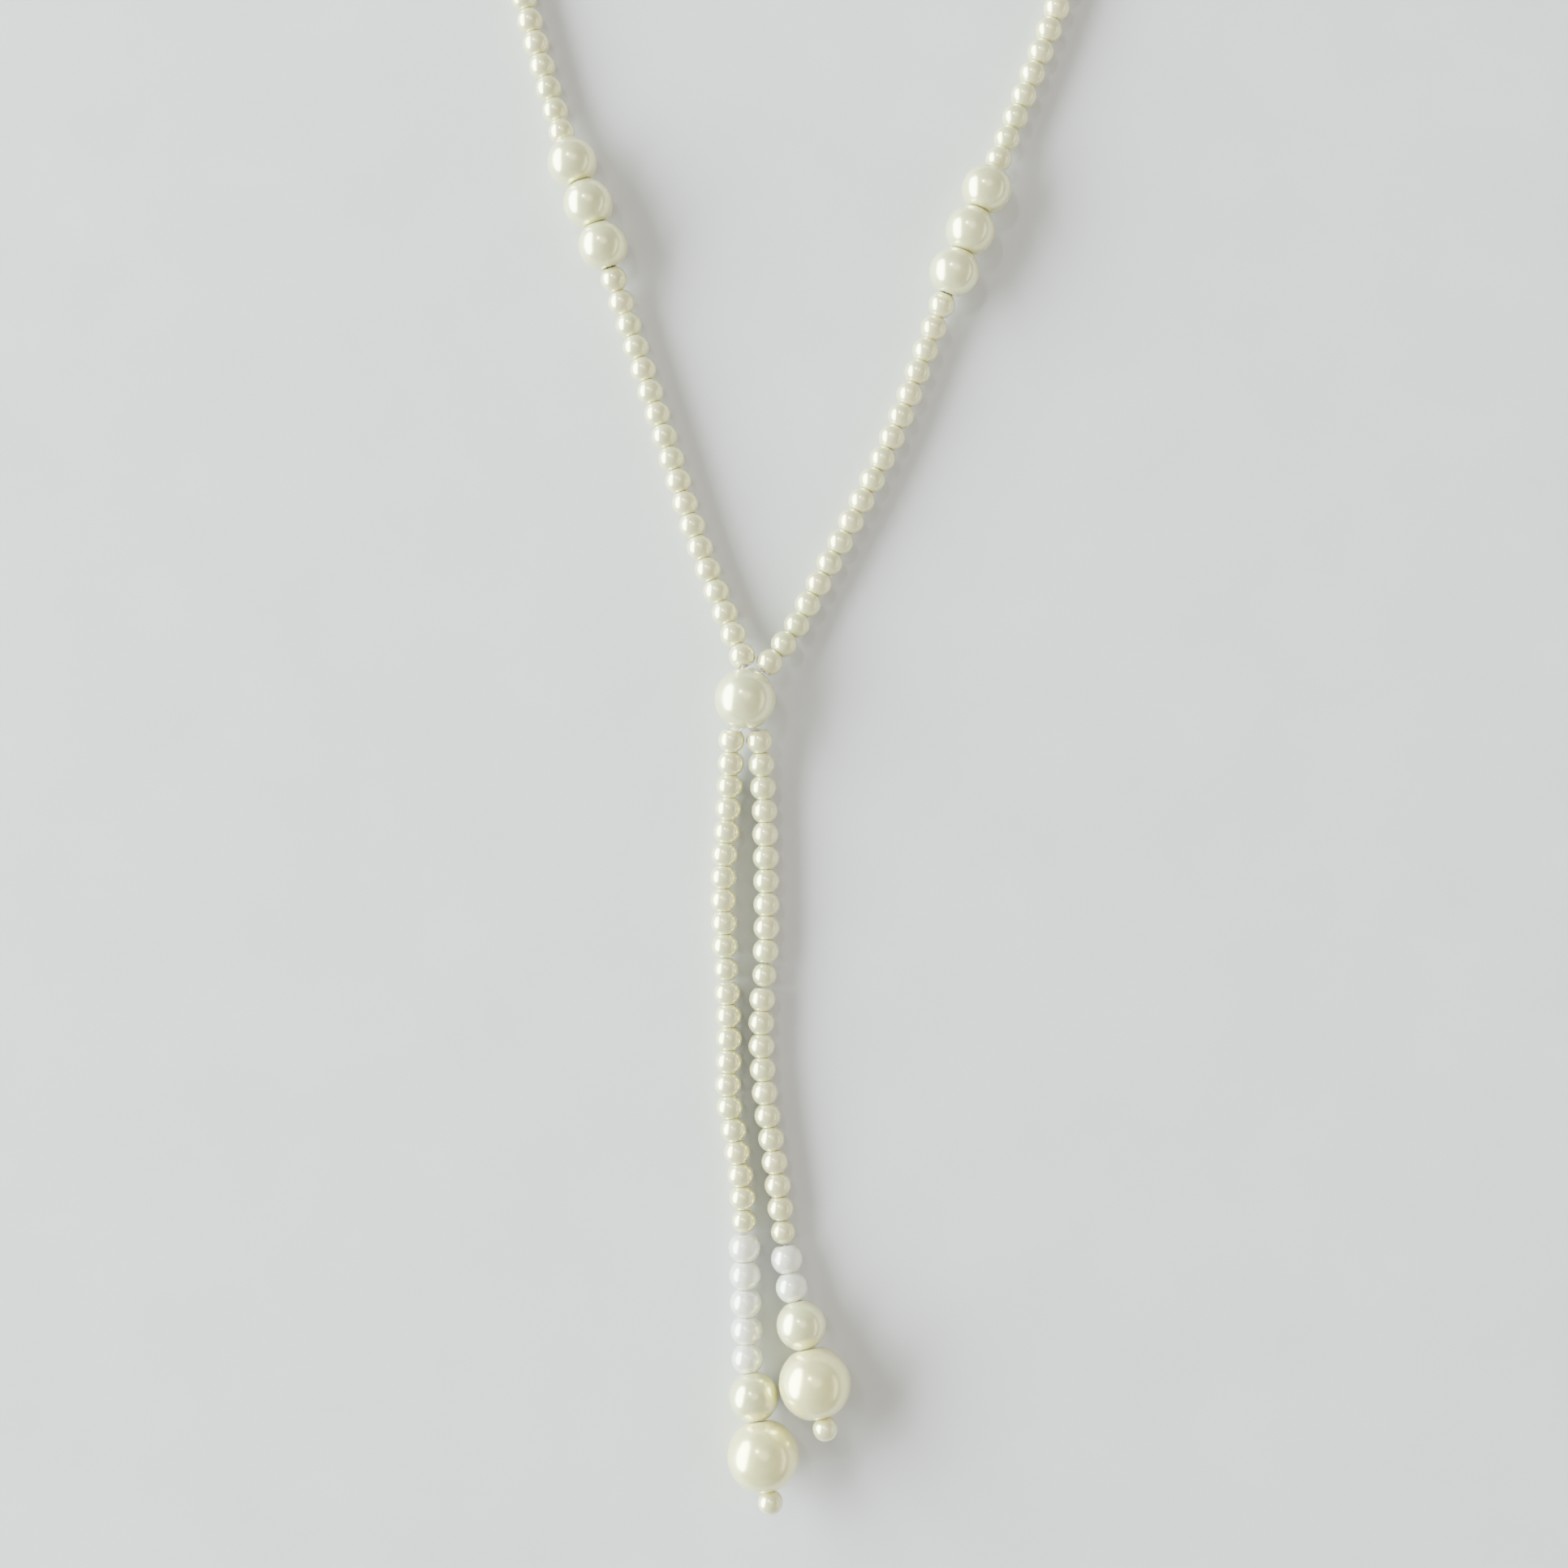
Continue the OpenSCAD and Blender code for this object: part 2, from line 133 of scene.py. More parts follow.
NECK_PARTS = ("neck_pearls", "accent_low", "accent_mid", "accent_high", "side_pearls", "turn_pearl",
              "nape_pearls")
TASSEL_PARTS = ("tassel_upper_pearls", "tassel_lower_pearls", "frosted_pearls", "drop_spacer",
                "drop_pearl", "stop_bead")
# The last pearl of each of these is a turn pearl: its neighbours swing round it
TURN_PARTS = ("tassel_upper_pearls", "tassel_lower_pearls", "turn_pearl")
strands = {}
for side in SIDES:
    for name, parts in (("neck", NECK_PARTS), ("tassel", TASSEL_PARTS)):
        strand = read_strand([f"{side}_{part}" for part in parts], SLIDER["centre"])
        for pearl, after in zip(strand[:-1], strand[1:]):
            pearl["turn"] = pearl["node"].endswith(TURN_PARTS) and after["node"] != pearl["node"]
        strand[-1]["turn"] = False
        strands[f"{side}_{name}"] = strand

# Each end of a pearl grows to meet its neighbour, except beside a turn pearl. It stops short of the
# middle of the gap by TOUCH, and at a share of the pearl's radius, so that the hole's rim stays flat.
TOUCH = 0.012 * MM
NEARLY_ROUND = 0.965
LAST_END_ROUND = 0.93
for strand in strands.values():
    for pearl in strand:
        pearl["ends"] = [pearl["half"], pearl["half"]]
    for a, b in zip(strand[:-1], strand[1:]):
        if a["turn"] or b["turn"]:
            continue
        gap = np.linalg.norm(b["centre"] - a["centre"]) - a["half"] - b["half"]
        grow = max(0.0, gap / 2 - TOUCH)
        for pearl, end in ((a, 1), (b, 0)):
            most = max(pearl["half"], NEARLY_ROUND * pearl["radius"])
            pearl["ends"][end] = min(pearl["half"] + grow, most)
SLIDER["ends"] = [SLIDER["half"], SLIDER["half"]]
# The outer end of each tassel's last bead is nearly a full ball, with only the rim of its hole flat
for side in SIDES:
    last = strands[f"{side}_tassel"][-1]
    last["ends"][1] = max(last["ends"][1], LAST_END_ROUND * last["radius"])


# ---------------------------------------------------------------- mesh helpers
def finish_mesh(name, bm, material):
    """A smoothly shaded object in the scene, made from bm, which is freed."""
    mesh = bpy.data.meshes.new(name)
    bmesh.ops.recalc_face_normals(bm, faces=bm.faces)
    bm.to_mesh(mesh)
    bm.free()
    for polygon in mesh.polygons:
        polygon.use_smooth = True
    mesh.materials.append(material)
    piece = bpy.data.objects.new(name, mesh)
    bpy.context.scene.collection.objects.link(piece)
    return piece


def basis(axis):
    """Two directions square to axis."""
    axis = np.asarray(axis) / np.linalg.norm(axis)
    side = np.cross(axis, [0.0, 0.0, 1.0])
    if np.linalg.norm(side) < 1e-3:
        side = np.cross(axis, [1.0, 0.0, 0.0])
    side /= np.linalg.norm(side)
    return side, np.cross(axis, side)


def soft_min(a, b, k):
    """The smaller of a and b, rounded where they meet over a width k."""
    h = np.clip(0.5 + 0.5 * (b - a) / k, 0, 1)
    return b + (a - b) * h - k * h * (1 - h)


HOLE_RIM = 0.10 * MM
END_SOFTNESS = 0.05


def end_profile(radius, half, hole):
    """Half a pearl's outline, from its waist to inside its hole, as (along, across).

    The dome flattens softly towards half, and the hole's edge is a quarter circle."""
    lip = hole + HOLE_RIM
    angles = np.linspace(0, math.acos(min(lip / radius, 0.99)), 17)
    points = []
    for angle in angles:
        dome = radius * math.sin(angle)
        points.append([float(soft_min(dome, half, END_SOFTNESS * radius)), radius * math.cos(angle)])
    top = points[-1][0]
    for turn in (30, 60, 90):
        bend = math.radians(turn)
        points.append([top - HOLE_RIM * (1 - math.cos(bend)), lip - HOLE_RIM * math.sin(bend)])
    points.append([top * 0.5, hole])
    return points


UNEVENNESS = 0.004
SMALL_PEARL = 3 * MM
LACQUER, BORE = 0, 1


def add_pearl(bm, pearl):
    """One drilled pearl as a closed ring of rings round its hole, slightly uneven like a coated bead."""
    radius, hole = pearl["radius"], pearl["hole"]
    segments = 40 if radius < SMALL_PEARL else 72
    far = end_profile(radius, pearl["ends"][1], hole)
    near = end_profile(radius, pearl["ends"][0], hole)
    outline = [(-a, r) for a, r in reversed(near[1:])] + far + [(0.0, hole)]
    side, up = basis(pearl["axis"])
    phase = rng.uniform(0, 2 * math.pi, 4)
    squash = rng.normal(0, UNEVENNESS, 3)
    rings = []
    for along, across in outline:
        ring = []
        for k in range(segments):
            t = 2 * math.pi * k / segments
            lat = along / radius
            uneven = 1.0
            if across > hole * 1.3:  # the hole and its rim stay round
                uneven += squash[0] * math.cos(2 * t + phase[0])
                uneven += squash[1] * math.cos(t + phase[1]) * lat
                uneven += squash[2] * math.cos(3 * t + phase[2]) * (1 - lat * lat)
            offset = pearl["axis"] * along + (side * math.cos(t) + up * math.sin(t)) * across * uneven
            ring.append(bm.verts.new(pearl["centre"] + offset))
        rings.append(ring)
    in_the_hole = (0, len(rings) - 2, len(rings) - 1)
    for i in range(len(rings)):
        a, b = rings[i], rings[(i + 1) % len(rings)]
        for k in range(segments):
            n = (k + 1) % segments
            face = bm.faces.new((a[k], a[n], b[n], b[k]))
            face.material_index = BORE if i in in_the_hole else LACQUER


# ---------------------------------------------------------------- materials
def new_material(name):
    """An empty material with one Principled shader, and what is needed to build on it."""
    material = bpy.data.materials.new(name)
    material.use_nodes = True
    nodes, links = material.node_tree.nodes, material.node_tree.links
    nodes.clear()
    out = nodes.new("ShaderNodeOutputMaterial")
    shader = nodes.new("ShaderNodeBsdfPrincipled")
    links.new(shader.outputs["BSDF"], out.inputs["Surface"])
    return material, nodes, links, shader


def set_inputs(node, values):
    for socket, value in values.items():
        node.inputs[socket].default_value = value


def noise(nodes, links, scale, detail):
    """A noise that stays with the object, at scale features to the metre."""
    where = nodes.new("ShaderNodeTexCoord")
    texture = nodes.new("ShaderNodeTexNoise")
    set_inputs(texture, {"Scale": scale, "Detail": detail})
    links.new(where.outputs["Object"], texture.inputs["Vector"])
    return texture.outputs["Fac"]


def ramp(nodes, links, value, stops):
    """Turns a value into a colour, by (place, colour) stops."""
    node = nodes.new("ShaderNodeValToRGB")
    links.new(value, node.inputs["Fac"])
    elements = node.color_ramp.elements
    while len(elements) < len(stops):
        elements.new(0.5)
    for element, (place, colour) in zip(elements, stops):
        element.position = place
        element.color = (*colour, 1)
    return node.outputs["Color"]


def mix(nodes, links, a, b, factor):
    """Colour a with this share of colour b."""
    node = nodes.new("ShaderNodeMix")
    node.data_type = "RGBA"
    for socket, value in (("Factor", factor), ("A", a), ("B", b)):
        target = [s for s in node.inputs if s.name == socket and s.enabled][0]
        if isinstance(value, bpy.types.NodeSocket):
            links.new(value, target)
        elif socket == "Factor":
            target.default_value = value
        else:
            target.default_value = (*value, 1)
    return [s for s in node.outputs if s.enabled][0]


def spread(nodes, links, value, low, high):
    """Maps the usual range of a noise to low and high."""
    node = nodes.new("ShaderNodeMapRange")
    links.new(value, node.inputs["Value"])
    set_inputs(node, {"From Min": 0.25, "From Max": 0.75, "To Min": low, "To Max": high})
    return node.outputs["Result"]


def bump(nodes, links, shader, height, distance):
    node = nodes.new("ShaderNodeBump")
    set_inputs(node, {"Distance": distance, "Strength": 1.0})
    links.new(height, node.inputs["Height"])
    links.new(node.outputs["Normal"], shader.inputs["Normal"])


COAT = {"Coat Weight": 1.0, "Coat Roughness": 0.07, "Coat IOR": 1.55}


def pearl_material(name, deep, light, tint):
    """Pearl lacquer over a moulded core: tint varies from pearl to pearl and in faint clouds."""
    material, nodes, links, shader = new_material(name)
    each = nodes.new("ShaderNodeNewGeometry").outputs["Random Per Island"]
    clouds = noise(nodes, links, 420, 3)
    orient = noise(nodes, links, 130, 1)
    body = ramp(nodes, links, clouds, [(0.3, deep), (0.72, light)])
    shade = ramp(nodes, links, each, [(0.0, tuple(c * 0.93 for c in light)), (0.5, light), (1.0, tint)])
    colour = mix(nodes, links, body, shade, 0.45)
    rosy = ramp(nodes, links, orient, [(0.38, (0.86, 0.91, 0.80)), (0.62, (0.95, 0.86, 0.80))])
    links.new(mix(nodes, links, colour, rosy, 0.16), shader.inputs["Base Color"])
    links.new(spread(nodes, links, clouds, 0.21, 0.27), shader.inputs["Roughness"])
    set_inputs(shader, {"Metallic": 0.45, "IOR": 1.55, **COAT,
                        "Thin Film Thickness": 420, "Thin Film IOR": 1.4,
                        "Sheen Weight": 0.15, "Sheen Roughness": 0.3,
                        "Sheen Tint": (0.80, 0.84, 1.0, 1)})
    bump(nodes, links, shader, noise(nodes, links, 5200, 2), 0.004 * MM)
    return material


def frosted_material():
    """Milky plastic that some light goes through, under the same coat."""
    material, nodes, links, shader = new_material("pearl_frosted")
    each = nodes.new("ShaderNodeNewGeometry").outputs["Random Per Island"]
    clouds = noise(nodes, links, 500, 3)
    body = ramp(nodes, links, clouds, [(0.3, (0.86, 0.88, 0.74)), (0.7, (0.97, 0.98, 0.86))])
    shade = ramp(nodes, links, each, [(0.0, (0.94, 0.96, 0.84)), (1.0, (0.98, 0.92, 0.80))])
    links.new(mix(nodes, links, body, shade, 0.4), shader.inputs["Base Color"])
    links.new(spread(nodes, links, clouds, 0.20, 0.28), shader.inputs["Roughness"])
    set_inputs(shader, {"IOR": 1.49, "Metallic": 0.15, **COAT,
                        "Transmission Weight": 0.38, "Subsurface Weight": 0.6,
                        "Subsurface Radius": (1.0, 0.95, 0.85), "Subsurface Scale": 1.2 * MM})
    bump(nodes, links, shader, noise(nodes, links, 4200, 2), 0.004 * MM)
    return material


def bore_material(name, dark, pale):
    """The bare core that shows inside a pearl's hole, where the lacquer stops."""
    material, nodes, links, shader = new_material(name)
    chips = noise(nodes, links, 3000, 4)
    links.new(ramp(nodes, links, chips, [(0.35, dark), (0.65, pale)]), shader.inputs["Base Color"])
    links.new(spread(nodes, links, chips, 0.5, 0.8), shader.inputs["Roughness"])
    bump(nodes, links, shader, chips, 0.02 * MM)
    return material


def thread_material():
    """Off-white twisted fibre with a soft sheen."""
    material, nodes, links, shader = new_material("thread")
    fibre = noise(nodes, links, 16000, 3)
    colour = ramp(nodes, links, fibre, [(0.25, (0.62, 0.58, 0.50)), (0.75, (0.86, 0.83, 0.76))])
    links.new(colour, shader.inputs["Base Color"])
    links.new(spread(nodes, links, fibre, 0.6, 0.85), shader.inputs["Roughness"])
    set_inputs(shader, {"Sheen Weight": 0.4, "Sheen Roughness": 0.5})
    bump(nodes, links, shader, fibre, 0.01 * MM)
    return material


def metal_material(name, dark, pale, low, high, brushed):
    """Plated metal, between two roughnesses; brushed draws its fine lines out along an axis."""
    material, nodes, links, shader = new_material(name)
    where = nodes.new("ShaderNodeTexCoord")
    stretch = nodes.new("ShaderNodeMapping")
    set_inputs(stretch, {"Scale": brushed})
    links.new(where.outputs["Object"], stretch.inputs["Vector"])
    lines = nodes.new("ShaderNodeTexNoise")
    set_inputs(lines, {"Scale": 2600, "Detail": 3})
    links.new(stretch.outputs["Vector"], lines.inputs["Vector"])
    wear = noise(nodes, links, 900, 4)
    links.new(ramp(nodes, links, wear, [(0.3, dark), (0.7, pale)]), shader.inputs["Base Color"])
    links.new(spread(nodes, links, lines.outputs["Fac"], low, high), shader.inputs["Roughness"])
    set_inputs(shader, {"Metallic": 1.0})
    bump(nodes, links, shader, lines.outputs["Fac"], 0.004 * MM)
    return material


CREAM = pearl_material("pearl_cream", (0.60, 0.56, 0.22), (0.80, 0.79, 0.38), (0.86, 0.76, 0.40))
WARM = pearl_material("pearl_warm", (0.71, 0.62, 0.21), (0.87, 0.83, 0.33), (0.92, 0.79, 0.33))
FROSTED = frosted_material()
BARE_CORE = bore_material("bare_core", (0.62, 0.60, 0.50), (0.80, 0.79, 0.72))
ROSY_CORE = bore_material("rosy_core", (0.62, 0.47, 0.42), (0.78, 0.66, 0.60))
THREAD = thread_material()
PLATED = metal_material("plated_wire", (0.60, 0.61, 0.62), (0.80, 0.80, 0.80), 0.10, 0.20, (1, 1, 1))
CLASP = metal_material("plated_clasp", (0.58, 0.59, 0.60), (0.78, 0.78, 0.78), 0.16, 0.30, (0.15, 1, 1))


# ---------------------------------------------------------------- pearls
def look_of(node):
    """The outer material of a node's pearls, and its slot."""
    if "frosted" in node:
        return FROSTED, "pearl_frosted"
    if node.endswith("drop_pearl"):
        return WARM, "pearl_warm"
    return CREAM, "pearl_cream"


def build_pearls(node, pearls):
    bm = bmesh.new()
    for pearl in pearls:
        add_pearl(bm, pearl)
    material, slot = look_of(node)
    piece = finish_mesh(f"{node}_beads", bm, material)
    piece.data.materials.append(ROSY_CORE if material == FROSTED else BARE_CORE)
    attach(piece, body_of_node[node])
    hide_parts(node)


by_node = {"slider_pearl": [SLIDER]}
for strand in strands.values():
    for pearl in strand:
        by_node.setdefault(pearl["node"], []).append(pearl)
for node, pearls in by_node.items():
    build_pearls(node, pearls)


# ---------------------------------------------------------------- threads
def smooth_route(points, step):
    """A Catmull-Rom curve through the points, resampled at about this step."""
    p = [2 * points[0] - points[1], *points, 2 * points[-1] - points[-2]]
    out = []
    for i in range(1, len(p) - 2):
        count = max(2, int(np.linalg.norm(p[i + 1] - p[i]) / step))
        for k in range(count):
            t = k / count
            out.append(0.5 * (2 * p[i] + (p[i + 1] - p[i - 1]) * t
                              + (2 * p[i - 1] - 5 * p[i] + 4 * p[i + 1] - p[i + 2]) * t * t
                              + (3 * p[i] - p[i - 1] - 3 * p[i + 1] + p[i + 2]) * t ** 3))
    out.append(points[-1])
    return out


def twisted_thread(name, points, radius=0.22 * MM, plies=3, pitch=1.5 * MM, step=0.12 * MM):
    """A cord of this radius along the route, of plies twisted round each other once in every pitch."""
    route = smooth_route([np.asarray(p, float) for p in points], step)
    bm = bmesh.new()
    ply_r = radius * 0.52  # a little over half, so that the plies press into each other
    sides = 6
    travelled = 0.0
    previous = [None] * plies
    for i, here in enumerate(route):
        ahead = route[min(i + 1, len(route) - 1)] - route[max(i - 1, 0)]
        side, up = basis(ahead)
        if i:
            travelled += np.linalg.norm(here - route[i - 1])
        for ply in range(plies):
            turn = 2 * math.pi * (travelled / pitch + ply / plies)
            middle = here + (side * math.cos(turn) + up * math.sin(turn)) * (radius - ply_r)
            ring = [bm.verts.new(middle + (side * math.cos(a) + up * math.sin(a)) * ply_r)
                    for a in (2 * math.pi * k / sides for k in range(sides))]
            if previous[ply] is None:
                bm.faces.new(ring)
            else:
                for k in range(sides):
                    n = (k + 1) % sides
                    bm.faces.new((previous[ply][k], previous[ply][n], ring[n], ring[k]))
            if i == len(route) - 1:
                bm.faces.new(ring)
            previous[ply] = ring
    piece = finish_mesh(name, bm, THREAD)
    return piece


def hole_end(pearl, which):
    """The middle of a pearl's far hole mouth (1) or near one (0), as the CAD has it."""
    sign = 1 if which else -1
    return pearl["centre"] + sign * pearl["half"] * pearl["axis"]


def thread_points(pearls, start=None, end=None):
    """Through the middle of each gap between these pearls, with the given ends."""
    points = [] if start is None else [start]
    for a, b in zip(pearls[:-1], pearls[1:]):
        points.append((hole_end(a, 1) + hole_end(b, 0)) / 2)
    return points + ([] if end is None else [end])


HOLE_SIDE = 0.4 * MM


def slider_mouth(strand_name):
    """Where a strand's cord leaves the slider pearl: the two cords lie beside each other in its hole."""
    side = -1 if strand_name.startswith("left") else 1
    end = 1 if strand_name.endswith("neck") else -1
    return SLIDER["centre"] + np.array([side * HOLE_SIDE, end * SLIDER["half"], 0])


def tassel_group(pearl):
    """The part of the tassel that a pearl swings with."""
    for group in ("upper", "lower"):
        if group in pearl["node"]:
            return group
    return "drop"


def body_thread(name, node, points):
    piece = twisted_thread(name, points)
    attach(piece, body_of_node[node])
    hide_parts(node)


for side in SIDES:
    # From inside the slider pearl to the first pearl of each strand
    for part, body in (("neck", f"{side}_neck"), ("tassel", f"{side}_tassel_upper")):
        strand = strands[f"{side}_{part}"]
        mouth = slider_mouth(f"{side}_{part}")
        inside = mouth.copy()
        inside[1] = SLIDER["centre"][1] + 0.1 * (mouth[1] - SLIDER["centre"][1])
        first = strand[0]
        deep = first["centre"] + 0.2 * first["half"] * first["axis"]
        link = twisted_thread(f"{side}_{part}_link_thread", [inside, mouth, hole_end(first, 0), deep])
        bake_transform(link)
    # Neck strand, turn pearl and nape strand
    strand = strands[f"{side}_neck"]
    turn = next(i for i, p in enumerate(strand) if p["node"].endswith("turn_pearl"))
    lower, pivot, upper = strand[:turn], strand[turn], strand[turn + 1:]
    body_thread(f"{side}_neck_cord", f"{side}_neck_thread",
                thread_points(lower, lower[0]["centre"], hole_end(lower[-1], 1)))
    body_thread(f"{side}_turn_cord", f"{side}_turn_thread",
                [hole_end(pivot, 0), pivot["centre"], hole_end(pivot, 1)])
    knot_low, knot_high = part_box(f"{side}_knot")
    knot = np.array((knot_low + knot_high) / 2)
    body_thread(f"{side}_nape_cord", f"{side}_nape_thread",
                thread_points(upper, hole_end(upper[0], 0), hole_end(upper[-1], 1)) + [knot])
    # Tassel, split at its two turn pearls
    strand = strands[f"{side}_tassel"]
    for group in ("upper", "lower", "drop"):
        pearls = [p for p in strand if tassel_group(p) == group]
        node = f"{side}_drop_thread" if group == "drop" else f"{side}_tassel_{group}_thread"
        start = pearls[0]["centre"] if group == "upper" else hole_end(pearls[0], 0)
        end = hole_end(pearls[-1], 1)
        body_thread(f"{side}_{group}_cord", node, thread_points(pearls, start, end))

# The two cords side by side through the slider pearl
for side in SIDES:
    neck, tassel = slider_mouth(f"{side}_neck"), slider_mouth(f"{side}_tassel")
    cord = twisted_thread(f"{side}_slider_cord",
                          [neck + (tassel - neck) * t for t in (0.12, 0.5, 0.88)])
    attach(cord, "slider")
    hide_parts("slider_thread")


# ---------------------------------------------------------------- knots, bead tips, rings, clasp
def applied(work, kind, **settings):
    """Gives the work object the mesh that one modifier makes of it."""
    modifier = work.modifiers.new(kind, kind)
    for key, value in settings.items():
        setattr(modifier, key, value)
    depsgraph = bpy.context.evaluated_depsgraph_get()
    work.data = bpy.data.meshes.new_from_object(work.evaluated_get(depsgraph))
    work.modifiers.remove(modifier)


def as_metal(node, mesh, fine, rounds, material, slot, thick=None):
    """A finding of cast or drawn metal: its mesh, in millimetres, made fine and its edges rounded.

    thick, a centre and a reach, keeps most of the rounding to the solid part within it."""
    work = bpy.data.objects.new(f"{node}_metal", mesh)
    bpy.context.scene.collection.objects.link(work)
    applied(work, "REMESH", mode="VOXEL", voxel_size=fine, use_smooth_shade=True)
    group = work.vertex_groups.new(name="rounded")
    for vertex in work.data.vertices:
        solid = not thick or (vertex.co * MM - Vector(thick[0])).length < thick[1]
        group.add([vertex.index], 1.0 if solid else 0.1, "REPLACE")
    applied(work, "SMOOTH", factor=0.5, iterations=rounds, vertex_group="rounded")
    work.vertex_groups.clear()
    work.data.transform(Matrix.Scale(MM, 4))
    for polygon in work.data.polygons:
        polygon.use_smooth = True
    work.data.materials.clear()
    work.data.materials.append(material)
    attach(work, body_of_node[node])
    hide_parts(node)


def softened(node, *options):
    """The CAD's own solid as a finding; options are as_metal's, after the mesh."""
    mesh = frame["nodes"][node].data.copy()
    mesh.transform(Matrix.Scale(1 / MM, 4) @ frame["nodes"][node].matrix_world)
    as_metal(node, mesh, *options)


def revolve(bm, outline, place, sides=64, ring=False):
    """Turns an outline of (along, across) points; place gives the point at an along, an across and
    a turn. A ring's outline joins up with itself, and any other is capped at both ends."""
    turns = [2 * math.pi * k / sides for k in range(sides)]
    rings = [[bm.verts.new(place(a, r, t)) for t in turns] for a, r in outline]
    pairs = list(zip(rings[:-1], rings[1:]))
    if ring:
        pairs.append((rings[-1], rings[0]))
    else:
        bm.faces.new(rings[0])
        bm.faces.new(rings[-1])
    for low, high in pairs:
        for k in range(sides):
            n = (k + 1) % sides
            bm.faces.new((low[k], low[n], high[n], high[k]))


CUP_WALL = 0.30 * MM


def bead_tip(side):
    """The cup that hides the knot, with its stem and wire loop, to the CAD's own measures."""
    node = f"{side}_bead_tip"
    centre = np.mean([np.array(corner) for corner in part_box(f"{side}_knot")], axis=0)
    offset = np.concatenate([solid.reshape(-1, 3) for solid in islands(node)]) - centre
    far = offset[np.linalg.norm(offset, axis=1).argmax()]
    along = np.array([far[0], far[1], 0]) / math.hypot(far[0], far[1])
    across = np.array([-along[1], along[0], 0])
    up = np.array([0, 0, 1.0])
    reach, wide, high = offset @ along, np.abs(offset @ across), np.abs(offset[:, 2])
    # Radii of the cup, the wire, the loop and the cup's mouth, and how far the loop reaches
    cup, end = high.max(), reach.max()
    wire = high[reach > end - 0.5 * MM].max()
    loop = wide[reach > end - 1.5 * MM].max() - wire
    mouth = np.hypot(wide, high)[reach < reach.min() + 0.001 * MM].min()
    bm = bmesh.new()

    def round_axis(a, r, t):
        return (centre + along * a + (across * math.cos(t) + up * math.sin(t)) * r) / MM

    def round_loop(a, r, t):
        spoke = along * math.cos(t) + across * math.sin(t)
        return (centre + along * (end - loop - wire) + spoke * (loop + r) + up * a) / MM

    lip = math.asin(mouth / cup)
    arc = [lip + (math.pi - 0.01 - lip) * k / 30 for k in range(31)]
    inside = [(-(cup - CUP_WALL) * math.cos(t), (cup - CUP_WALL) * math.sin(t)) for t in arc]
    outside = [(-cup * math.cos(t), cup * math.sin(t)) for t in arc]
    revolve(bm, inside[::-1] + outside, round_axis)
    revolve(bm, [(cup - 0.15 * MM, wire), (end - 2 * (loop + wire) + wire, wire)], round_axis, sides=24)
    circle = [2 * math.pi * k / 20 for k in range(20)]
    revolve(bm, [(wire * math.sin(t), wire * math.cos(t)) for t in circle], round_loop, ring=True)
    bmesh.ops.recalc_face_normals(bm, faces=bm.faces)
    mesh = bpy.data.meshes.new(node)
    bm.to_mesh(mesh)
    bm.free()
    as_metal(node, mesh, 0.045, 4, PLATED, "findings")


def tied_knot(name, node):
    """A trefoil knot in the thread's end, as large as the CAD's knot."""
    low, high = (np.array(corner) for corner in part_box(node))
    middle, reach = (low + high) / 2, (high - low) / 2 - 0.17 * MM
    loop = []
    for k in range(25):
        t = 2 * math.pi * k / 24
        x, y, z = math.sin(t) + 2 * math.sin(2 * t), math.cos(t) - 2 * math.cos(2 * t), -math.sin(3 * t)
        loop.append(middle + reach * np.array([x / 3, y / 3, z]))
    piece = twisted_thread(name, loop, radius=0.17 * MM, pitch=1.0 * MM, step=0.06 * MM)
    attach(piece, body_of_node[node])
    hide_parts(node)


for side in SIDES:
    bead_tip(side)
    tied_knot(f"{side}_tied_knot", f"{side}_knot")
# Each with its voxel size in millimetres, rounds of smoothing, material and slot
for node in ("jump_ring", "end_ring"):
    softened(node, 0.05, 3, PLATED, "findings")
pin_low, pin_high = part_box("clasp_pin")
softened("clasp_body", 0.06, 110, CLASP, "clasp", ((pin_low + pin_high) / 2, 4.7 * MM))
softened("clasp_lever", 0.05, 25, CLASP, "clasp")
softened("clasp_pin", 0.04, 4, CLASP, "clasp")
softened("clasp_spring", 0.03, 2, PLATED, "clasp")


# ---------------------------------------------------------------- table, light, camera
def table_material():
    material, nodes, links, shader = new_material("table")
    mottle = noise(nodes, links, 60, 4)
    links.new(ramp(nodes, links, mottle, [(0.3, (0.50, 0.505, 0.51)), (0.7, (0.53, 0.535, 0.54))]),
              shader.inputs["Base Color"])
    set_inputs(shader, {"Roughness": 0.8})
    bump(nodes, links, shader, noise(nodes, links, 2500, 3), 0.01 * MM)
    return material


def coved_table():
    """A round tabletop, far larger than the necklace, that curves up into a wall all round it."""
    flat, bend, rise, sides = 3.0, 1.0, 1.5, 96
    outline = [(flat + bend * math.sin(t), bend - bend * math.cos(t))
               for t in np.linspace(0, math.pi / 2, 13)]
    outline.append((flat + bend, bend + rise))
    bm = bmesh.new()
    rings = [[bm.verts.new((r * math.cos(a), r * math.sin(a), z))
              for a in (2 * math.pi * k / sides for k in range(sides))] for r, z in outline]
    bm.faces.new(rings[0])
    for low, high in zip(rings[:-1], rings[1:]):
        for k in range(sides):
            n = (k + 1) % sides
            bm.faces.new((low[k], low[n], high[n], high[k]))
    return finish_mesh("table", bm, table_material())


coved_table()


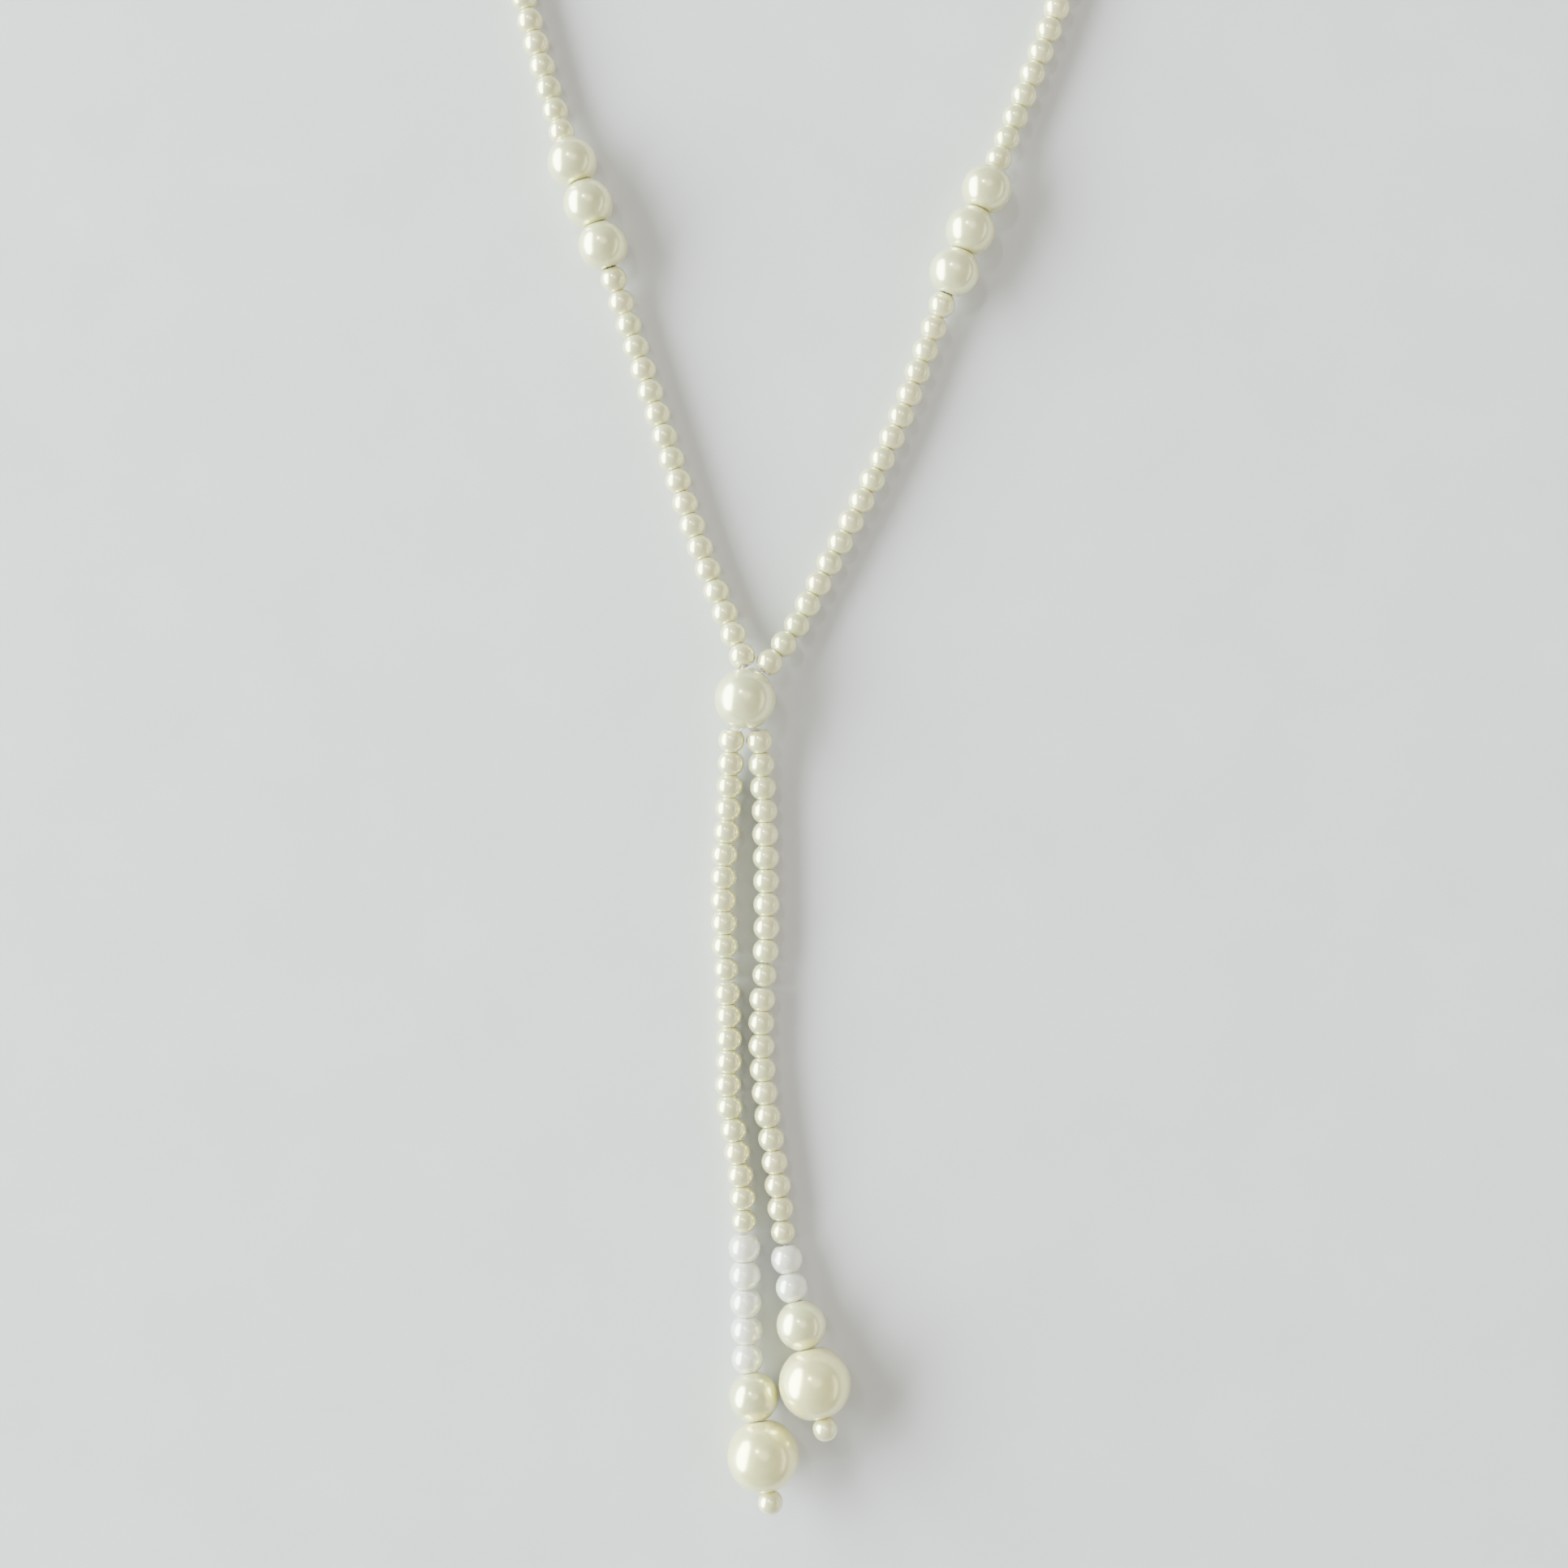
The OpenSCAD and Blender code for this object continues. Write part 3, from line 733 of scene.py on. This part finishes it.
def area_light(name, toward, distance, size, watts, colour):
    """A soft panel, seen from the necklace in this direction, square to it."""
    light = bpy.data.lights.new(name, "AREA")
    light.shape = "ELLIPSE"
    light.size, light.size_y = size
    light.energy = watts
    light.color = colour
    lamp = bpy.data.objects.new(name, light)
    direction = Vector(toward).normalized()
    lamp.location = VIEW_CENTRE + direction * distance
    lamp.visible_camera = False
    lamp.rotation_mode = "QUATERNION"
    lamp.rotation_quaternion = direction.to_track_quat("Z", "Y")
    bpy.context.scene.collection.objects.link(lamp)
    return lamp


slider = Vector(SLIDER["centre"])
# The picture's middle on the table, to the right of the slider pearl and towards the tassels
VIEW_CENTRE = Vector((slider.x + 6.2 * MM, slider.y - 13.5 * MM, 0))
VIEW_WIDTH = 249 * MM

area_light("window", (-0.95, 0.10, 0.32), 1.8, (3.0, 1.6), 330, (0.89, 0.985, 0.98))
area_light("ceiling", (-0.27, 0.44, 0.86), 1.2, (0.11, 0.11), 2.6, (1.0, 0.98, 0.94))
area_light("strip", (0.94, -0.10, 0.33), 1.8, (2.2, 0.35), 4, (1.0, 0.97, 0.92))
fill = area_light("fill", (0.80, -0.15, 0.58), 1.6, (1.6, 1.6), 26, (1.0, 0.93, 0.80))
fill.visible_glossy = False
area_light("top", (0.1, 0.25, 0.95), 1.6, (1.0, 0.8), 3.0, (1.0, 0.98, 0.92))

world = bpy.data.worlds.new("studio")
world.use_nodes = True
background = world.node_tree.nodes["Background"]
background.inputs["Color"].default_value = (0.92, 0.92, 0.90, 1)
background.inputs["Strength"].default_value = 0.25
bpy.context.scene.world = world

camera_data = bpy.data.cameras.new("camera")
camera_data.sensor_width = 36
camera_data.lens = 50
height = VIEW_WIDTH * camera_data.lens / camera_data.sensor_width
camera = bpy.data.objects.new("camera", camera_data)
# The photo's scale was measured on the pearls, so it holds at the height of the slider's centre
camera.location = VIEW_CENTRE + Vector((0, 0, slider.z + height))
camera.rotation_euler = (0, 0, 0)  # straight down
camera_data.clip_start, camera_data.clip_end = 0.01, 10
bpy.context.scene.collection.objects.link(camera)
bpy.context.scene.camera = camera
